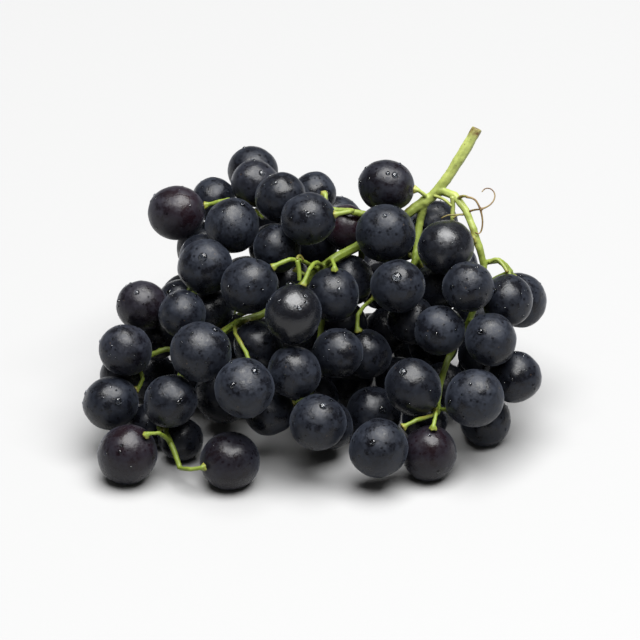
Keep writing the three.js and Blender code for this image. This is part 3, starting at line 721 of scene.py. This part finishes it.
class GRAPES_OT_tendril(bpy.types.Operator):
    """Replaces the plain tendril with a smooth dry one"""

    bl_idname = "grapes.tendril"
    bl_label = "Dried tendril"

    def execute(self, context):
        looks = context.scene.grape_stalk
        piece = finish_mesh("tendril", merged_copy(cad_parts["dried_tendril"]))
        rounded = piece.modifiers.new("round", "SUBSURF")
        rounded.levels = rounded.render_levels = 2
        apply_modifiers(piece)
        shader = Shader("dry_tendril")
        place = shader.add("TexCoord").outputs["Object"]
        faded = shader.noise(place, scale=400.0, detail=3.0, roughness=0.6)
        faded = shader.ramp(faded, low=0.35, high=0.65)
        colour = shader.mix(faded, rgba(looks.dry), rgba(STRAW))
        shader.feed(shader.surface.inputs["Base Color"], colour)
        shader.surface.inputs["Roughness"].default_value = 0.6
        piece.data.materials.clear()
        piece.data.materials.append(shader.material)
        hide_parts("dried_tendril")
        return {"FINISHED"}


def twig(route, thick, thin):
    """The mesh of a tapered round twig along a smooth route."""
    curve = bpy.data.curves.new("twig", "CURVE")
    curve.dimensions = "3D"
    curve.bevel_depth = MM / 2
    curve.bevel_resolution = 2
    curve.use_fill_caps = True
    curve.resolution_u = 8
    spline = curve.splines.new("NURBS")
    spline.points.add(len(route) - 1)
    for index, place in enumerate(route):
        spline.points[index].co = (*place, 1)
        spline.points[index].radius = thick + (thin - thick) * index / (len(route) - 1)
    spline.order_u = min(3, len(route))
    spline.use_endpoint_u = True
    holder = bpy.data.objects.new("twig", curve)
    mesh = bpy.data.meshes.new_from_object(holder)
    bpy.data.objects.remove(holder)
    return mesh


def spur_route(points, stems, skins, ends_on_berry):
    """A spur's points in space: from a stem to a berry, a stem or the air, its depth changing evenly."""
    root = nearest_to_sight(stems, *points[0])
    end = nearest_to_sight(skins if ends_on_berry else stems, *points[-1])
    depths = [root.dot(DEPTH) + ROOT_SINK, end.dot(DEPTH) + END_SINK]
    if abs(depths[1] - depths[0]) > DEEPEST_SPUR:
        depths[1] = depths[0]
    route = []
    for index, (across, rise) in enumerate(points):
        eye, way = line_of_sight(across, rise)
        depth = depths[0] + (depths[1] - depths[0]) * index / (len(points) - 1)
        route.append(eye + way * (depth - eye.dot(DEPTH)) / way.dot(DEPTH))
    route[0] = root
    if not ends_on_berry and (route[-1] - end).length < JOINS_WITHIN:
        route[-1] = end
    return route


class GRAPES_OT_spurs(bpy.types.Operator):
    """Adds the short spurs and dry wisps at the forks of the stalk"""

    bl_idname = "grapes.spurs"
    bl_label = "Spurs"

    def execute(self, context):
        skins = skin_tree()
        stems = [bpy.data.objects["stalk"], bpy.data.objects["tendril"]]
        built = bmesh.new()
        built.verts.layers.float.new("dry")
        for points, thick, thin, ends_on_berry, dryness in SPURS:
            route = spur_route(points, tree_of(stems), skins, ends_on_berry)
            mesh = twig(route, thick, thin)
            keep_attribute(mesh, "dry", [dryness] * len(mesh.vertices))
            built.from_mesh(mesh)
        bmesh.ops.remove_doubles(built, verts=built.verts, dist=SAME_CORNER / 2)
        piece = finish_mesh("spurs", built)
        weather_stem(piece.data, distances_from_cut(piece.data, stems[0].data))
        piece.data.materials.append(bpy.data.materials["green_stalk"])
        return {"FINISHED"}


def add_drop(built, place, normal, size):
    """A flattened ball of water with its middle on the skin, so that a dome of it shows."""
    one = bmesh.new()
    fineness = 3 if size > LARGE_FROM else 2
    made = bmesh.ops.create_icosphere(one, subdivisions=fineness, radius=size * MM)["verts"]
    turn = Vector((0, 0, 1)).rotation_difference(normal).to_matrix().to_4x4()
    flat = Matrix.Diagonal((1, 1, DROP_HEIGHT, 1))
    bmesh.ops.transform(one, matrix=Matrix.Translation(place) @ turn @ flat, verts=made)
    gather(built, one)


class GRAPES_OT_drops(bpy.types.Operator):
    """Adds the water drops: the large ones at listed places, the small ones scattered over the skins"""

    bl_idname = "grapes.drops"
    bl_label = "Water drops"

    def execute(self, context):
        looks = context.scene.grape_drops
        draw = random.Random(looks.seed)
        berries = all_berries()
        wet = [LEAST_WET + draw.random() ** 2 for _ in berries]
        skins = skin_tree()
        built = bmesh.new()
        for across, rise, size in LARGE_DROPS:
            place, normal, _, _ = skins.ray_cast(*line_of_sight(across, rise))
            if place:
                add_drop(built, place, normal, size)
        for _ in range(looks.small_count):
            centre, _, radius = draw.choices(berries, wet)[0]
            way = Vector([draw.gauss(0, 1) for _ in range(3)]).normalized()
            size = draw.choice(SMALL_DROPS)
            spot = centre + way * (radius * PAST_END + DROP_CLEARANCE)
            crowded = any((spot - c).length < r * PAST_END for c, _, r in berries if c != centre)
            if crowded or spot.z < LOWEST_DROP or way.z < UNDERSIDE:
                continue
            place, normal, _, _ = skins.ray_cast(spot, -way)
            add_drop(built, place, normal, size)
        piece = finish_mesh("water_drops", built)
        shader = Shader("water")
        shader.surface.inputs["Base Color"].default_value = rgba(WATER)
        shader.surface.inputs["Roughness"].default_value = 0.02
        shader.surface.inputs["IOR"].default_value = 1.4
        shader.surface.inputs["Transmission Weight"].default_value = 1.0
        piece.data.materials.append(shader.material)
        return {"FINISHED"}


def add_softbox(place, aim, size, power):
    """A large square studio light that points at a place."""
    lamp = bpy.data.lights.new("softbox", "AREA")
    lamp.shape = "SQUARE"
    lamp.size = size
    lamp.energy = power
    light = bpy.data.objects.new("softbox", lamp)
    light.location = place
    light.rotation_euler = (Vector(aim) - Vector(place)).to_track_quat("-Z", "Y").to_euler()
    bpy.context.scene.collection.objects.link(light)


class GRAPES_OT_stage(bpy.types.Operator):
    """Adds the white table, the soft light and the camera"""

    bl_idname = "grapes.stage"
    bl_label = "Stage"

    def execute(self, context):
        looks = context.scene.grape_stage
        scene = context.scene
        built = bmesh.new()
        bmesh.ops.create_grid(built, x_segments=1, y_segments=1, size=TABLE_REACH)
        table = finish_mesh("table", built, smooth=False)
        shader = Shader("table")
        shader.surface.inputs["Base Color"].default_value = rgba(looks.table)
        shader.surface.inputs["Roughness"].default_value = 0.7
        table.data.materials.append(shader.material)

        world = bpy.data.worlds.new("studio")
        world.use_nodes = True
        sky = world.node_tree.nodes["Background"]
        sky.inputs["Color"].default_value = (1.0, 1.0, 1.0, 1.0)
        sky.inputs["Strength"].default_value = STUDIO_LIGHT
        scene.world = world
        scene.view_settings.view_transform = "Standard"
        add_softbox(SOFTBOX_PLACE, SOFTBOX_AIM, SOFTBOX_SIZE, SOFTBOX_POWER)

        aim = from_picture(AIM_ACROSS, AIM_RISE, AIM_DEPTH)
        camera = bpy.data.objects.new("camera", bpy.data.cameras.new("camera"))
        camera.data.lens = camera.data.sensor_width * looks.camera_distance / (PICTURE_WIDTH * MM)
        camera.data.clip_end = 20
        camera.location = aim - DEPTH * looks.camera_distance
        camera.rotation_euler = DEPTH.to_track_quat("-Z", "Y").to_euler()
        scene.collection.objects.link(camera)
        scene.camera = camera
        return {"FINISHED"}


class GRAPES_PT_panel(bpy.types.Panel):
    """Lists the bunch's pieces in the order in which they are made"""

    bl_idname = "GRAPES_PT_panel"
    bl_label = "Bunch of Grapes"
    bl_space_type = "VIEW_3D"
    bl_region_type = "UI"
    bl_category = "Grapes"

    def draw(self, context):
        for operator in OPERATORS:
            self.layout.operator(operator.bl_idname)
        for group in ("grape_skin", "grape_stalk", "grape_drops", "grape_stage"):
            settings = getattr(context.scene, group)
            box = self.layout.box()
            for name in settings.__annotations__:
                box.prop(settings, name)


GROUPS = {
    "grape_skin": SkinProperties,
    "grape_stalk": StalkProperties,
    "grape_drops": DropProperties,
    "grape_stage": StageProperties,
}
OPERATORS = (
    GRAPES_OT_skins, GRAPES_OT_inner, GRAPES_OT_stalk, GRAPES_OT_tendril, GRAPES_OT_spurs, GRAPES_OT_drops,
    GRAPES_OT_stage,
)


def register():
    for group, settings in GROUPS.items():
        bpy.utils.register_class(settings)
        setattr(bpy.types.Scene, group, bpy.props.PointerProperty(type=settings))
    for operator in (*OPERATORS, GRAPES_PT_panel):
        bpy.utils.register_class(operator)


def unregister():
    for operator in (GRAPES_PT_panel, *reversed(OPERATORS)):
        bpy.utils.unregister_class(operator)
    for group, settings in GROUPS.items():
        delattr(bpy.types.Scene, group)
        bpy.utils.unregister_class(settings)


def main():
    register()
    for operator in OPERATORS:
        group, name = operator.bl_idname.split(".")
        getattr(getattr(bpy.ops, group), name)()


if __name__ == "__main__":
    main()
